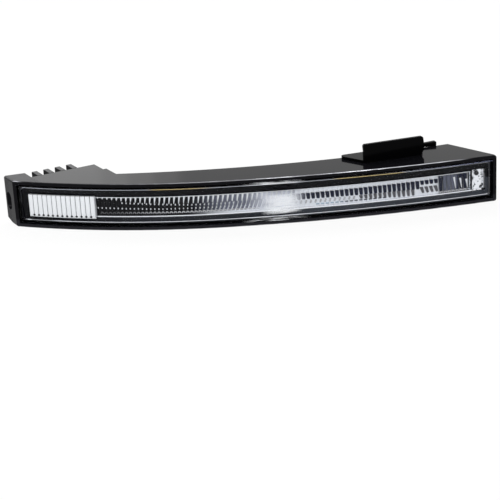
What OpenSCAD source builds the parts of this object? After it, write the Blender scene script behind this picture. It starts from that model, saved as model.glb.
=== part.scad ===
// Daytime running light: a long, bowed lamp for a front bumper.
// Millimetres, +Z up. The lit face looks along -Y and the heat sink is at the -X end.
// The origin is on the underside, half way along the face and a little behind its front edge.

/* [Face] */
// Length of the face from tip to tip
lamp_l = 330; // [320:1:350]
// Height of the lamp
lamp_h = 32.8; // [31:0.2:36]
// Bow radius on the -X side of the foremost point
left_r = 375; // [340:5:420]
// Bow radius on the +X side of the foremost point
right_r = 740; // [680:5:820]
// How far the foremost point lies towards -X from the middle
apex_off = 27.5; // [20:0.5:35]
// Rounding of the long front edges
edge_r = 0.8; // [0.4:0.1:1.2]

/* [Housing] */
// Thickness of the moulded walls
wall_t = 2.4; // [2:0.1:3]
// Distance from the foremost point back to the origin
origin_back = 15; // [12:0.5:18]
// Depth of the housing where its back comes nearest to the face
waist_d = 28.3; // [27:0.1:31]
// How far that place lies towards -X from the middle
waist_off = 50; // [45:1:55]
// Radius of the curved back
back_r = 590; // [560:5:640]
// Depth of the flat end at the +X tip
tip_d = 4.5; // [4:0.1:6]
// How far the tail corner lies inboard of the +X tip
tail_in = 25.6; // [24:0.2:30]
// Bevel along the top of the slanted +X end
tip_bevel = 3; // [2:0.1:3.5]
// Corner rounding of the +X tip, seen from the front
tip_r = 2.2; // [1.2:0.1:2.6]

/* [Heat sink end] */
// Turn of the heat sink end away from the face's chord
block_turn = 29; // [27:0.5:31]
// Length of that end along its turned back wall
block_l = 61.3; // [59:0.1:66]
// Small jog in the inboard side of that end
jog_w = 2.4; // [1:0.1:3]
// Distance of the jog in front of the turned back wall
jog_set = 15; // [12:0.5:18]
// Width of the fixing ear
ear_w = 14.2; // [13:0.1:15]
// Depth of the ear behind the tip, on its outer side
ear_d = 15.4; // [14.5:0.1:17]
// Slant of the ear's back edge
ear_slant = 3.1; // [2:0.1:4]
// Width of the ear's locating slot
slot_w = 7.4; // [6:0.1:8]
// Height of the ear's locating slot
slot_h = 12.4; // [11:0.1:13]
// Depth of the ear's locating slot
slot_deep = 4.5; // [4.2:0.1:4.7]
// Rounding of the ear's top outer edge
ear_top_r = 1.4; // [0.8:0.1:2]
// Rounding of the ear's bottom outer edge
ear_foot_r = 1.6; // [1:0.1:3]
// How far the ear's underside rises towards its back
ear_lift = 3.2; // [1:0.1:4]
// Distance behind the tip where that rise starts
ear_lift_set = 4; // [3:0.1:6]

/* [Heat sink] */
// Number of cooling fins
fin_n = 4; // [3:1:4]
// Spacing of the fins
fin_pitch = 8.6; // [8:0.1:9]
// Thickness of a fin
fin_t = 3.4; // [2:0.1:4]
// Reach of the fins behind the turned back wall
fin_reach = 12.5; // [10:0.1:14]
// Thickness of the heat sink's base flange
sink_t = 3; // [2.5:0.1:4]
// Rounding of the fins' back corners
fin_r = 1.2; // [0.8:0.1:3]
// Thickness of the gasket under the flange
gasket_t = 0.8; // [0.5:0.1:1.2]

/* [Lens] */
// Thickness of the clear cover
lens_t = 2; // [1.6:0.1:2.5]
// Thickness of its skirt
skirt_t = 1.5; // [1.2:0.1:1.8]
// Depth of its skirt
skirt_d = 5.6; // [5:0.1:6.5]
// Step from the housing's front edge back to the cover
lens_set = 0.4; // [0.2:0.1:0.8]
// Clearance round each part that drops into another
fit = 0.15; // [0.1:0.05:0.25]
// Diameter of the sealing bead behind the skirt
bead_d = 1.2; // [1:0.1:1.4]
// Corner rounding of the cover, seen from the front
lens_r = 2.2; // [1.5:0.1:3]

/* [Bezel] */
// Gap from the cover's inner face to the bezel
bezel_gap = 0.3; // [0.2:0.1:0.8]
// Width of the bezel's bright front lip
lip_w = 1.1; // [0.6:0.1:1.4]
// Depth of the bezel's straight rim
rim_d = 0.8; // [0.6:0.1:1.4]
// Depth of its sloping funnel
funnel_d = 2; // [1.6:0.1:3]
// Thickness left behind the funnel
bezel_t = 0.7; // [0.5:0.1:1]

/* [Light band] */
// Height of the lit band
band_h = 15.4; // [14.6:0.1:15.8]
// How far the band's middle lies below the lamp's middle
band_drop = 1.4; // [0.8:0.1:1.8]
// Distance of the band's -X end from the tip
band_in_left = 9.6; // [9:0.1:11]
// Distance of the band's +X end from the tip
band_in_right = 7.4; // [7:0.1:9]
// Number of ribs on the block at the -X end
block_rib_n = 14; // [12:1:14]
// Spacing of that block's ribs
block_pitch = 3.46; // [3.3:0.01:3.5]
// Spacing of the light guide's flutes
flute_pitch = 3.25; // [3:0.05:3.6]
// Thickness of the light guide
guide_t = 3; // [2.5:0.1:3.5]
// Thickness of the ribbed block
block_t = 3.4; // [3.4:0.1:3.7]
// How far the ribbed block stands out behind the bezel
block_out = 1.1; // [0.8:0.1:1.4]
// Height of the reflector's bright lips
rail_h = 0.9; // [0.6:0.1:1.2]
// Depth of the reflector behind its lips
trough_d = 6.6; // [6:0.1:7.5]
// Thickness of the reflector's shell
trough_t = 1.2; // [1:0.1:1.5]
// Length of the small reflector at the +X end
end_l = 9; // [8:0.1:10]
// Thickness of that reflector
end_t = 1.8; // [1.4:0.1:1.9]

/* [Electronics] */
// Thickness of the circuit boards
board_t = 1.4; // [1:0.1:1.8]
// Number of LEDs along the band
led_n = 14; // [10:1:16]
// Width of an LED
led_w = 3; // [2.5:0.1:3.5]
// Height of an LED
led_t = 1.1; // [0.8:0.1:1.3]
// Thickness of the thermal pad
pad_t = 1; // [0.5:0.1:1.5]
// Distance of the LED board from the +X tip
board_in_right = 24; // [22:0.5:28]
// Distance of the LED board from the ribbed block
board_in_left = 3; // [2:0.1:4]
// Spacing of the parts on the driver board
part_gap = 0.6; // [0.4:0.1:1]
// Width of the driver chip
chip_w = 5; // [4:0.1:5.2]

/* [Bracket] */
// Thickness of the bracket's sheet
sheet_t = 2; // [1.6:0.1:2.5]
// Width of the bracket's upright wall
upright_w = 44.5; // [42:0.5:47]
// Height of the upright wall above the housing
upright_h = 12.8; // [11:0.2:15]
// Height of the wall's bent lip
hook_h = 4.4; // [3:0.1:6]
// Lean of the bent lip
hook_turn = 14; // [5:1:20]
// Turn of the bracket about the vertical
bracket_turn = 17.5; // [16:0.5:19]
// Distance of the bracket's middle from the +X tip
bracket_in = 69.2; // [67:0.2:73]
// Distance of the wall's foot behind the face
bracket_set = 19.2; // [17:0.1:20]
// Depth of the bracket's base behind the wall
base_d = 19.7; // [18.5:0.1:21]
// Relief cut at the foot of the wall's +X edge
foot_cut = 2.4; // [1.5:0.1:3]
// Radius of the bracket's screws
bracket_screw_r = 2; // [1.5:0.1:2.5]

/* [Connector] */
// Place of the connector along the face
plug_x = -8; // [-14:0.5:-2]
// Width of the connector's shroud
plug_w = 20; // [18:0.5:22]
// Height of the connector's shroud
plug_h = 14; // [12:0.5:15]
// Reach of the shroud behind the housing
plug_reach = 14; // [12:0.5:16]
// Thickness of the shroud
plug_t = 1.6; // [1.2:0.1:1.8]
// Radius of the breather vent
vent_r = 4; // [3:0.1:5]
// Distance of the vent from the connector
vent_off = 40; // [36:0.5:44]

/* [Hidden] */

$fn = 48;
// Fineness of the long bow arcs
bow_fn = 1440;
// Longer than anything here
far = 1500;
// Longer than the lamp is deep
reach = 150;
// How far a cutter runs past a face
past = 1;

half_l = lamp_l / 2;
mid_z = lamp_h / 2;
band_z = mid_z - band_drop;

// Centres of the two bow arcs and of the curved back, in plan
left_c = [-apex_off, left_r - origin_back];
right_c = [-apex_off, right_r - origin_back];
back_c = [-waist_off, waist_d + back_r - origin_back];

// Angle of the bow at a place along the face
function bow_r(x) = x < -apex_off ? left_r : right_r;
function bow_turn(x) = asin((x + apex_off) / bow_r(x));
// Point at a depth behind the face, square to the bow
function bow_pt(x, d) = [
    -apex_off + (bow_r(x) - d) * sin(bow_turn(x)),
    bow_r(x) - origin_back - (bow_r(x) - d) * cos(bow_turn(x))];
// Length along the bow from its foremost point, and back
function bow_arc(x) = bow_r(x) * bow_turn(x) * PI / 180;
function bow_x(s) = let (r = s < 0 ? left_r : right_r) -apex_off + r * sin(s / r * 180 / PI);
// Place along the bow whose square line meets x at a depth
function face_x(x, d) = -apex_off + (x + apex_off) * bow_r(x) / (bow_r(x) - d);
// Y of the curved back
function back_y(x) = back_c[1] - sqrt(back_r * back_r - (x + waist_off) * (x + waist_off));

tip_left = bow_pt(-half_l, 0);
tip_right = bow_pt(half_l, 0);
tail_x = half_l - tail_in;
tail = [tail_x, back_y(tail_x)];

// Depths behind the face, from front to back
lens_back = lens_set + lens_t;
skirt_back = lens_set + skirt_d;
seat_d = skirt_back + bead_d + 2 * fit;
bezel_d = lens_back + bezel_gap;
funnel_front = bezel_d + rim_d;
funnel_back = funnel_front + funnel_d;
bezel_back = funnel_back + bezel_t;
block_back = bezel_back + block_out;
pocket_back = max(seat_d, block_back + fit);
guide_d = bezel_back + fit;
trough_back = guide_d + trough_d;
board_d = trough_back + fit;
board_back = board_d + board_t;

// Heights from the middle of the lamp, and for the band's parts from the middle of the band
pocket_h = lamp_h / 2 - wall_t - fit;
bezel_h = pocket_h - skirt_t - fit;
opening_h = bezel_h - lip_w;
window_h = band_h / 2;
guide_h = window_h - rail_h - fit;

// Ends of the lit band
band_left = -half_l + band_in_left;
band_right = half_l - band_in_right;
block_len = block_rib_n * block_pitch;
block_right = bow_x(bow_arc(band_left) + block_len);
end_left = band_right - end_l;
open_left = -half_l + wall_t + skirt_t + lip_w + 2 * fit;
open_right = half_l - wall_t - skirt_t - lip_w - 2 * fit;

// Puts children at a place along the bow, facing square into the housing
module at_bow(x, d = 0, z = 0) {
    p = bow_pt(x, d);
    translate([p[0], p[1], z]) rotate([0, 0, bow_turn(x)]) children();
}

// Plan area behind the face, set back by d
module behind_face(d) {
    intersection() {
        translate(left_c) circle(r = left_r - d, $fn = bow_fn);
        translate([-apex_off - far, -far]) square([far, 2 * far]);
    }
    intersection() {
        translate(right_c) circle(r = right_r - d, $fn = bow_fn);
        translate([-apex_off, -far]) square([far, 2 * far]);
    }
}

// Rectangle with round corners, centred in height
module round_plate(x0, x1, h, r) {
    translate([x0 + r, -h]) square([x1 - x0 - 2 * r, 2 * h]);
    translate([x0, r - h]) square([x1 - x0, 2 * h - 2 * r]);
    for (x = [x0 + r, x1 - r])
        for (z = [r - h, h - r])
            translate([x, z]) circle(r = r);
}

// A slab that follows the bow from depth d0 to d1, with round corners from the front
module bow_slab(d0, d1, x0, x1, h, r) {
    intersection() {
        translate([0, 0, mid_z - h]) linear_extrude(2 * h) difference() {
            behind_face(d0);
            behind_face(d1);
        }
        translate([0, 0, mid_z]) rotate([90, 0, 0])
            linear_extrude(2 * reach, center = true) round_plate(x0, x1, h, r);
    }
}

// The same slab with square ends
module bow_bar(d0, d1, x0, x1, h) {
    intersection() {
        translate([0, 0, mid_z - h]) linear_extrude(2 * h) difference() {
            behind_face(d0);
            behind_face(d1);
        }
        translate([x0, -reach, mid_z - h]) cube([x1 - x0, 2 * reach, 2 * h]);
    }
}

// Sweeps a profile of (depth, height from the middle) along the whole bow
module bow_sweep(x0, x1) {
    translate([left_c[0], left_c[1], mid_z]) mirror([1, 0, 0]) rotate([0, 0, -90])
        rotate_extrude(angle = -bow_turn(x0), $fn = bow_fn)
            translate([left_r, 0]) mirror([1, 0]) children();
    translate([right_c[0], right_c[1], mid_z]) rotate([0, 0, -90])
        rotate_extrude(angle = bow_turn(x1), $fn = bow_fn)
            translate([right_r, 0]) mirror([1, 0]) children();
}

// Lowers what is centred on the lamp to the middle of the band
module at_band() {
    translate([0, 0, -band_drop]) children();
}

// Puts children in the frame of the turned heat sink end, at the -X tip
module at_block() {
    translate([tip_left[0], tip_left[1], 0]) rotate([0, 0, block_turn]) children();
}

// Plan of the heat sink end without its ear, with walls moved in by g
module block_plan(g, a0) {
    translate(tip_left) rotate(block_turn) polygon([[a0, -g], [block_l - g, -g],
        [block_l - g, -jog_set - g], [block_l + jog_w - g, -jog_set - g],
        [block_l + jog_w - g, -reach], [a0, -reach]]);
}

// Plan of the long body behind the face, with walls moved in by g
module beam_plan(g) {
    // The slanted +X end is moved in square to itself
    run = [tail_in, tail[1] - tip_right[1] - tip_d];
    in = g * norm(run) / run[0];
    difference() {
        polygon([[-half_l * 0.7, -reach], [half_l - g, -reach],
            [half_l - g, tip_right[1] + tip_d - in + g * run[1] / run[0]],
            [tail_x - g, tail[1] - in + g * run[1] / run[0]],
            [-half_l * 0.7, tail[1]]]);
        translate(back_c) circle(r = back_r + g, $fn = bow_fn);
    }
}

module ear_plan() {
    translate(tip_left) rotate(block_turn)
        polygon([[0, -reach], [0, ear_d], [ear_w, ear_d - ear_slant], [ear_w, -reach]]);
}

// Inside of the housing, clear of the walls by g
module cavity(g) {
    union() {
        linear_extrude(lamp_h) beam_plan(g);
        linear_extrude(lamp_h) block_plan(g, ear_w);
        // The light band's own pocket runs on in front of the ear
        linear_extrude(lamp_h) intersection() {
            translate([g - half_l, -reach]) square([half_l, 2 * reach]);
            difference() {
                behind_face(-reach);
                behind_face(pocket_back);
            }
        }
    }
}

// Fills the housing's mouth from depth d0 to d1, clear of its outside by g
module drop_in(d0, d1, g, h, r) {
    intersection() {
        bow_slab(d0, d1, g - half_l, half_l - g, h, r);
        cavity(g);
    }
}

// Long edges of the face are rounded by taking this away
module edge_cut(side) {
    bow_sweep(-half_l - 3 * edge_r, half_l + edge_r) scale([1, side]) difference() {
        translate([-past, mid_z - edge_r]) square([past + edge_r, past + edge_r]);
        translate([edge_r, mid_z - edge_r]) circle(r = edge_r, $fn = 32);
    }
}

// Outer edges of the ear are rounded along its length
module ear_profile() {
    rotate([90, 0, 0]) linear_extrude(3 * reach, center = true) {
        translate([ear_foot_r, 0]) square([3 * reach, lamp_h]);
        translate([0, ear_foot_r]) square([3 * reach, lamp_h - ear_foot_r - ear_top_r]);
        translate([ear_top_r, ear_foot_r]) square([3 * reach, lamp_h - ear_foot_r]);
        translate([ear_foot_r, ear_foot_r]) circle(r = ear_foot_r);
        translate([ear_top_r, lamp_h - ear_top_r]) circle(r = ear_top_r);
    }
}

// The ear's underside rises towards its back
module ear_lift_cut() {
    at_block() translate([-past, 0, 0]) rotate([90, 0, 90]) linear_extrude(ear_w + past)
        polygon([[ear_lift_set, 0], [ear_lift_set, -past], [2 * ear_d, -past],
            [2 * ear_d, ear_lift * (2 * ear_d - ear_lift_set) / (ear_d - ear_lift_set)]]);
}

// Outside of the +X tip, seen from the front
module tip_profile() {
    translate([0, 0, mid_z]) rotate([90, 0, 0]) linear_extrude(3 * reach, center = true)
        round_plate(-3 * reach, half_l + fit, mid_z, tip_r);
}

// The ear's slot starts at the middle of its side face and runs along X
slot_b = ear_d * 0.62;
slot_out = 20;
slot_pt = [tip_left[0] - slot_b * sin(block_turn), tip_left[1] + slot_b * cos(block_turn)];

module ear_slot() {
    r = slot_w / 2;
    translate([slot_pt[0] - slot_out, slot_pt[1], mid_z]) rotate([0, 90, 0])
        linear_extrude(slot_out + slot_deep) {
            translate([-slot_h / 2 + r, 0]) circle(r = r);
            translate([slot_h / 2 - r, 0]) circle(r = r);
            square([slot_h - 2 * r, slot_w], center = true);
        }
}

// Window in the turned back wall that the heat sink looks through
sink_a0 = ear_w + 0.6;
sink_a1 = block_l - 1;
sink_h = mid_z - 4;
window_a0 = sink_a0 + 12;
window_a1 = sink_a1 - 3;
window_half = sink_h - 6.6;
sink_screw_r = 1.4;
sink_boss_r = 3;
sink_boss_l = wall_t + 5;
sink_screw_z = sink_h - 3.2;
// The screws stand in the gap behind the first fin and beyond the last one
fin_a = ear_w + 5.2;
sink_screw_a = [fin_a + fin_t / 2 + fin_pitch / 2, fin_a + (fin_n - 1) * fin_pitch + fin_t + 4];

module sink_places() {
    for (a = sink_screw_a)
        for (z = [-sink_screw_z, sink_screw_z])
            at_block() translate([a, 0, mid_z + z]) rotate([-90, 0, 0]) children();
}

// Stations of the ribs that carry the LED board
rib_n = 5;
rib_w = 5;
board_left = block_right + board_in_left;
board_right = half_l - board_in_right;
board_h = 12.7;
board_screw_r = 1.25;
board_screw_l = 5;
// Play between a part and the face that it rests on
rest = 0.05;
ledge_t = 2;
board_step = (bow_arc(board_right) - bow_arc(board_left)) / rib_n;
function rib_x(i) = bow_x(bow_arc(board_left) + (i + 0.5) * board_step);

// Bracket screws sit in bosses under the top wall
bracket_x = half_l - bracket_in;
bracket_pt = [bracket_x, bow_pt(bracket_x, 0)[1] + bracket_set];
bracket_holes = [[-12, 11], [12, 11]];
insert_r = 2.8;
insert_l = 6;
boss_r = 4.6;
boss_l = insert_l + 1.6;

module at_bracket() {
    translate([bracket_pt[0], bracket_pt[1], lamp_h]) rotate([0, 0, bracket_turn]) children();
}

module at_bracket_holes() {
    at_bracket() for (p = bracket_holes) translate(p) children();
}

// Connector and vent sit square on the curved back
plug_turn = asin((plug_x + waist_off) / back_r);
plug_z = mid_z - 1.5;
vent_x = plug_x + vent_off;
vent_turn = asin((vent_x + waist_off) / back_r);
flange = 2;
flange_t = 1.6;
plug_bore_w = plug_w - 2 * plug_t;
plug_bore_h = plug_h - 2 * plug_t;

module at_back(x, turn, z) {
    translate([x, back_y(x), z]) rotate([0, 0, turn]) children();
}

module housing() {
    color([0.06, 0.06, 0.07]) difference() {
        intersection() {
            linear_extrude(lamp_h) intersection() {
                behind_face(0);
                union() {
                    beam_plan(0);
                    block_plan(0, 0);
                    ear_plan();
                }
            }
            at_block() ear_profile();
            tip_profile();
        }
        // Inside, open at the face
        difference() {
            intersection() {
                cavity(wall_t);
                translate([-far / 2, -far / 2, wall_t]) cube([far, far, lamp_h - 2 * wall_t]);
            }
            housing_inside();
        }
        edge_cut(1);
        edge_cut(-1);
        tip_bevel_cut();
        ear_lift_cut();
        ear_slot();
        sink_window();
        sink_places() translate([0, 0, past - sink_boss_l])
            cylinder(r = sink_screw_r, h = sink_boss_l);
        for (i = [0:rib_n - 1])
            at_board_holes(i) cylinder(r = board_screw_r, h = board_screw_l + past);
        at_bow(end_screw_x, guide_d, band_z + end_screw_z) rotate([-90, 0, 0])
            cylinder(r = end_screw_r, h = end_screw_l + past);
        at_bracket_holes() translate([0, 0, -insert_l]) cylinder(r = insert_r, h = insert_l + past);
        at_back(plug_x, plug_turn, plug_z)
            cube([plug_w + 2 * fit, 4 * wall_t, plug_h + 2 * fit], center = true);
        at_back(vent_x, vent_turn, plug_z) rotate([-90, 0, 0])
            cylinder(r = vent_r - 1, h = 4 * wall_t, center = true);
    }
}

// Ledge, ribs and bosses that stay standing inside the housing
module housing_inside() {
    // Ledge that the sealing bead lies on
    difference() {
        bow_bar(seat_d, seat_d + ledge_t, -half_l - reach, half_l, mid_z);
        drop_in(seat_d - past, seat_d + ledge_t + past, lens_in_g, pocket_h - skirt_t, lens_r / 2);
        at_band() bow_bar(seat_d - past, seat_d + ledge_t + past, band_left, band_right, window_h);
    }
    // Ribs behind the LED board
    for (i = [0:rib_n - 1])
        at_bow(rib_x(i), board_back + rest, 0) translate([-rib_w / 2, 0, 0]) cube([rib_w, reach, lamp_h]);
    // Bosses for the heat sink's screws
    sink_places() translate([0, 0, -sink_boss_l]) cylinder(r = sink_boss_r, h = sink_boss_l);
    // Bosses for the bracket's screws
    at_bracket_holes() translate([0, 0, -boss_l]) cylinder(r = boss_r, h = boss_l);
    // Boss behind the small reflector
    intersection() {
        at_bow(end_screw_x, guide_d + end_t + rest, band_z + end_screw_z) rotate([-90, 0, 0])
            cylinder(r = end_screw_r + 1.4, h = reach);
        translate([end_left + fit, -reach, 0]) cube([reach, 2 * reach, lamp_h]);
    }
}

// Bevel on the top edge of the slanted end, which keeps the tip slim from the front
module tip_bevel_cut() {
    a = [half_l, tip_right[1] + tip_d];
    slope = atan2(tail[1] - a[1], tail[0] - a[0]);
    translate([a[0], a[1], lamp_h]) rotate([0, 0, slope]) translate([-reach / 3, 0, 0])
        rotate([45, 0, 0]) translate([0, -tip_bevel / sqrt(2) * 2, -tip_bevel / sqrt(2)])
            cube([reach, tip_bevel * 4, tip_bevel * 4]);
}

module sink_window() {
    at_block() translate([window_a0, -wall_t - past, mid_z - window_half])
        cube([window_a1 - window_a0, wall_t + 2 * past, 2 * window_half]);
}

// Sizes of the cover's outside and inside, as clearances from the housing's outside
lens_g = wall_t + fit;
lens_in_g = lens_g + skirt_t;
bezel_g = lens_in_g + fit;

module outer_lens() {
    color([0.85, 0.9, 0.95, 0.4]) difference() {
        drop_in(lens_set, skirt_back, lens_g, pocket_h, lens_r);
        drop_in(lens_back, skirt_back + past, lens_in_g, pocket_h - skirt_t, lens_r / 2);
    }
}

module lens_seal() {
    color([0.08, 0.08, 0.08]) difference() {
        drop_in(skirt_back + fit, seat_d - fit, lens_g, pocket_h, lens_r);
        drop_in(skirt_back - past, seat_d + past, lens_in_g, pocket_h - skirt_t, lens_r / 2);
    }
}

module bezel() {
    color([0.05, 0.05, 0.06]) difference() {
        drop_in(bezel_d, bezel_back, bezel_g, bezel_h, lens_r / 2);
        // Straight rim, then a funnel down to the lit band
        bow_slab(bezel_d - past, funnel_front, open_left, open_right, opening_h, lens_r);
        bezel_funnel();
        at_band() bow_slab(funnel_front, bezel_back + past, band_left, band_right, window_h, 0.6);
    }
}

module bezel_funnel() {
    intersection() {
        bow_sweep(-half_l, half_l) polygon([[funnel_front - 0.01, -opening_h],
            [funnel_back, -window_h - band_drop], [funnel_back, window_h - band_drop],
            [funnel_front - 0.01, opening_h]]);
        linear_extrude(lamp_h) polygon([bow_pt(open_left, funnel_front), bow_pt(band_left, funnel_back),
            bow_pt(band_left, funnel_back + 5), bow_pt(band_right, funnel_back + 5),
            bow_pt(band_right, funnel_back), bow_pt(open_right, funnel_front),
            bow_pt(open_right, -reach), bow_pt(open_left, -reach)]);
    }
}

module reflector() {
    color([0.85, 0.86, 0.88]) at_band() difference() {
        bow_slab(guide_d, trough_back, block_right + fit, end_left - fit, window_h + trough_t, 0.3);
        bow_slab(guide_d - past, guide_d + guide_t + 2 * fit, block_right - past, end_left + past,
            guide_h + fit, 0.1);
        bow_slab(guide_d + 1, trough_back - trough_t, block_right + trough_t, end_left - trough_t,
            window_h, 0.3);
        for (i = [0:led_n - 1])
            at_bow(led_x(i), trough_back, mid_z)
                cube([led_w + 2, 4 * trough_t, led_w + 2], center = true);
    }
}

led_step = (bow_arc(board_right) - bow_arc(board_left)) / led_n;
function led_x(i) = bow_x(bow_arc(board_left) + (i + 0.5) * led_step);

module light_guide() {
    guide_left = block_right + 2 * fit;
    guide_right = end_left - 2 * fit;
    flute_n = floor((bow_arc(guide_right) - bow_arc(guide_left)) / flute_pitch);
    first = (bow_arc(guide_right) + bow_arc(guide_left) - flute_n * flute_pitch) / 2;
    rod_r = flute_pitch * 0.44;
    color([0.8, 0.85, 0.95, 0.6]) at_band() union() {
        bow_bar(guide_d + rod_r * 0.8, guide_d + guide_t, guide_left, guide_right, guide_h);
        for (i = [0:flute_n - 1])
            at_bow(face_x(bow_x(first + (i + 0.5) * flute_pitch), guide_d), guide_d + rod_r, mid_z)
                cylinder(r = rod_r, h = 2 * guide_h - 1, center = true, $fn = 32);
    }
}

module ribbed_block() {
    rod_r = block_pitch / 2;
    front = block_back - block_t;
    color([0.95, 0.96, 0.98]) at_band() union() {
        bow_bar(front + rod_r * 0.8, block_back, band_left + fit, block_right - fit, window_h - fit);
        for (i = [0:block_rib_n - 1])
            at_bow(face_x(bow_x(bow_arc(band_left) + (i + 0.5) * block_pitch), front),
                front + rod_r, mid_z)
                cylinder(r = rod_r * 0.95, h = 2 * window_h - 2, center = true, $fn = 32);
    }
}

end_screw_x = end_left + end_l * 0.55;
end_screw_z = 4.6;
end_screw_r = 1;
end_screw_l = 4.5;
end_floor = 0.7;
end_head_t = 0.9;

module end_reflector() {
    color([0.88, 0.88, 0.9]) at_band() difference() {
        bow_bar(guide_d, guide_d + end_t, end_left + fit, band_right - fit, window_h - fit);
        bow_slab(guide_d - past, guide_d + end_t - end_floor, end_left + 1, band_right - 1,
            window_h - 1.2, 1.2);
        at_bow(end_screw_x, guide_d, mid_z + end_screw_z) rotate([-90, 0, 0])
            cylinder(r = end_screw_r + fit, h = 4 * end_t, center = true);
    }
}

module end_screw() {
    seat = end_t - end_floor;
    color([0.3, 0.3, 0.32]) at_bow(end_screw_x, guide_d, band_z + end_screw_z) rotate([-90, 0, 0]) {
        translate([0, 0, seat - end_head_t]) cylinder(r = end_screw_r + 0.6, h = end_head_t);
        translate([0, 0, seat]) cylinder(r = end_screw_r, h = end_screw_l - seat);
    }
}

module led_board() {
    color([0.9, 0.9, 0.88]) difference() {
        bow_slab(board_d, board_back, board_left, board_right, board_h, 1);
        for (i = [0:rib_n - 1])
            at_board_holes(i) cylinder(r = board_screw_r + fit, h = 4 * board_t, center = true);
    }
}

module at_board_holes(i) {
    at_bow(rib_x(i), board_d, mid_z + board_h - 2) rotate([-90, 0, 0]) children();
}

module leds() {
    color([0.95, 0.9, 0.6]) for (i = [0:led_n - 1])
        at_bow(led_x(i), board_d, band_z) translate([-led_w / 2, -led_t, -led_w / 2])
            cube([led_w, led_t - 0.02, led_w]);
}

module board_screws() {
    color([0.6, 0.6, 0.62]) for (i = [0:rib_n - 1])
        at_board_holes(i) {
            translate([0, 0, -1.1]) cylinder(r = 1.7, h = 1.1);
            cylinder(r = board_screw_r, h = board_screw_l);
        }
}

// Driver board lies on a pad on the heat sink's inner face
boss_in = wall_t + 1;
pad_b = -boss_in - pad_t;
driver_b = pad_b - board_t;
driver_a0 = window_a0 + 0.5;
driver_a1 = window_a1 - 0.5;
driver_h = window_half - 0.5;
coil_r = 3.4;
coil_h = 4;
cap_r = 2.2;
cap_h = 4.5;

module driver_board() {
    color([0.05, 0.25, 0.12]) at_block() translate([driver_a0, driver_b, mid_z - driver_h])
        cube([driver_a1 - driver_a0, board_t, 2 * driver_h]);
}

// Places of the parts along the driver board, each beside the last
chip_a = part_gap + chip_w / 2;
coil_a = chip_a + chip_w / 2 + part_gap + coil_r;
cap_a = coil_a + coil_r + part_gap + cap_r;

// Puts children on the driver board's free face
module on_driver(a, z = 0) {
    at_block() translate([driver_a0 + a, driver_b, mid_z + z]) rotate([90, 0, 0]) children();
}

module driver_coil() {
    brim = 0.9;
    color([0.25, 0.25, 0.27]) on_driver(coil_a) difference() {
        cylinder(r = coil_r, h = coil_h);
        translate([0, 0, brim]) difference() {
            cylinder(r = coil_r + past, h = coil_h - 2 * brim);
            cylinder(r = coil_r - 1, h = coil_h - 2 * brim);
        }
    }
}

module driver_capacitors() {
    color([0.7, 0.7, 0.75]) for (side = [-1, 1])
        on_driver(cap_a, side * (cap_r + part_gap / 2)) cylinder(r = cap_r, h = cap_h);
}

module driver_chip() {
    color([0.1, 0.1, 0.1]) on_driver(chip_a) translate([-chip_w / 2, -chip_w / 2, 0])
        cube([chip_w, chip_w, 1.2]);
}

module thermal_pad() {
    color([0.6, 0.65, 0.8]) at_block() translate([driver_a0, pad_b, mid_z - driver_h])
        cube([driver_a1 - driver_a0, pad_t, 2 * driver_h]);
}

// Heat sink: a flange over the window, an inner boss and upright fins
flange_b = gasket_t;
fin_top = lamp_h;
fin_foot = 2;
pan_r = 2.3;
pan_t = 1.4;

module heat_sink() {
    color([0.1, 0.1, 0.11]) at_block() difference() {
        union() {
            translate([sink_a0, flange_b, mid_z - sink_h])
                cube([sink_a1 - sink_a0, sink_t, 2 * sink_h]);
            translate([window_a0 + 0.3, -boss_in, mid_z - window_half + 0.3])
                cube([window_a1 - window_a0 - 0.6, boss_in + gasket_t + past, 2 * window_half - 0.6]);
            for (i = [0:fin_n - 1])
                translate([fin_a + i * fin_pitch, 0, 0]) fin();
        }
        for (a = sink_screw_a)
            for (z = [-sink_screw_z, sink_screw_z])
                translate([a, 0, mid_z + z]) rotate([-90, 0, 0])
                    cylinder(r = sink_screw_r + 0.2, h = 4 * sink_t);
    }
}

// One fin, with round back corners
module fin() {
    rotate([90, 0, 90]) linear_extrude(fin_t) {
        translate([flange_b, fin_foot]) square([fin_reach - flange_b - fin_r, fin_top - fin_foot]);
        translate([flange_b, fin_foot + fin_r])
            square([fin_reach - flange_b, fin_top - fin_foot - 2 * fin_r]);
        for (z = [fin_foot + fin_r, fin_top - fin_r])
            translate([fin_reach - fin_r, z]) circle(r = fin_r);
    }
}

module sink_gasket() {
    color([0.12, 0.12, 0.12]) difference() {
        at_block() translate([sink_a0, 0, mid_z - sink_h])
            cube([sink_a1 - sink_a0, gasket_t, 2 * sink_h]);
        at_block() translate([window_a0, -past, mid_z - window_half])
            cube([window_a1 - window_a0, gasket_t + 2 * past, 2 * window_half]);
        sink_places() translate([0, 0, -past]) cylinder(r = sink_screw_r + 0.2, h = gasket_t + 2 * past);
    }
}

module sink_screws() {
    color([0.55, 0.55, 0.57]) sink_places() {
        translate([0, 0, flange_b + sink_t]) cylinder(r = pan_r, h = pan_t);
        translate([0, 0, -wall_t - 3]) cylinder(r = sink_screw_r, h = wall_t + 3 + flange_b + sink_t);
    }
}

// Flat lead from the driver board to the LED board
lead_t = 0.3;
lead_h = 3;

module link_lead() {
    color([0.85, 0.5, 0.15]) translate([0, 0, mid_z - lead_h]) linear_extrude(2 * lead_h)
        polygon(ribbon(lead_points(), lead_t / 2));
}

lead_gap = 0.02;
lead_in = 1;
lead_rise = 16;
lead_back = board_back + lead_t / 2 + lead_gap;

function lead_points() = let (
    u = [cos(block_turn), sin(block_turn)],
    v = [-sin(block_turn), cos(block_turn)],
    from = tip_left + (driver_a1 - lead_in) * u + (driver_b - lead_gap) * v)
    [from, from - lead_rise * v, bow_pt(board_left, lead_back + 2), bow_pt(board_left + 2, lead_back),
    bow_pt(board_left + 6, lead_back)];

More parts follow.
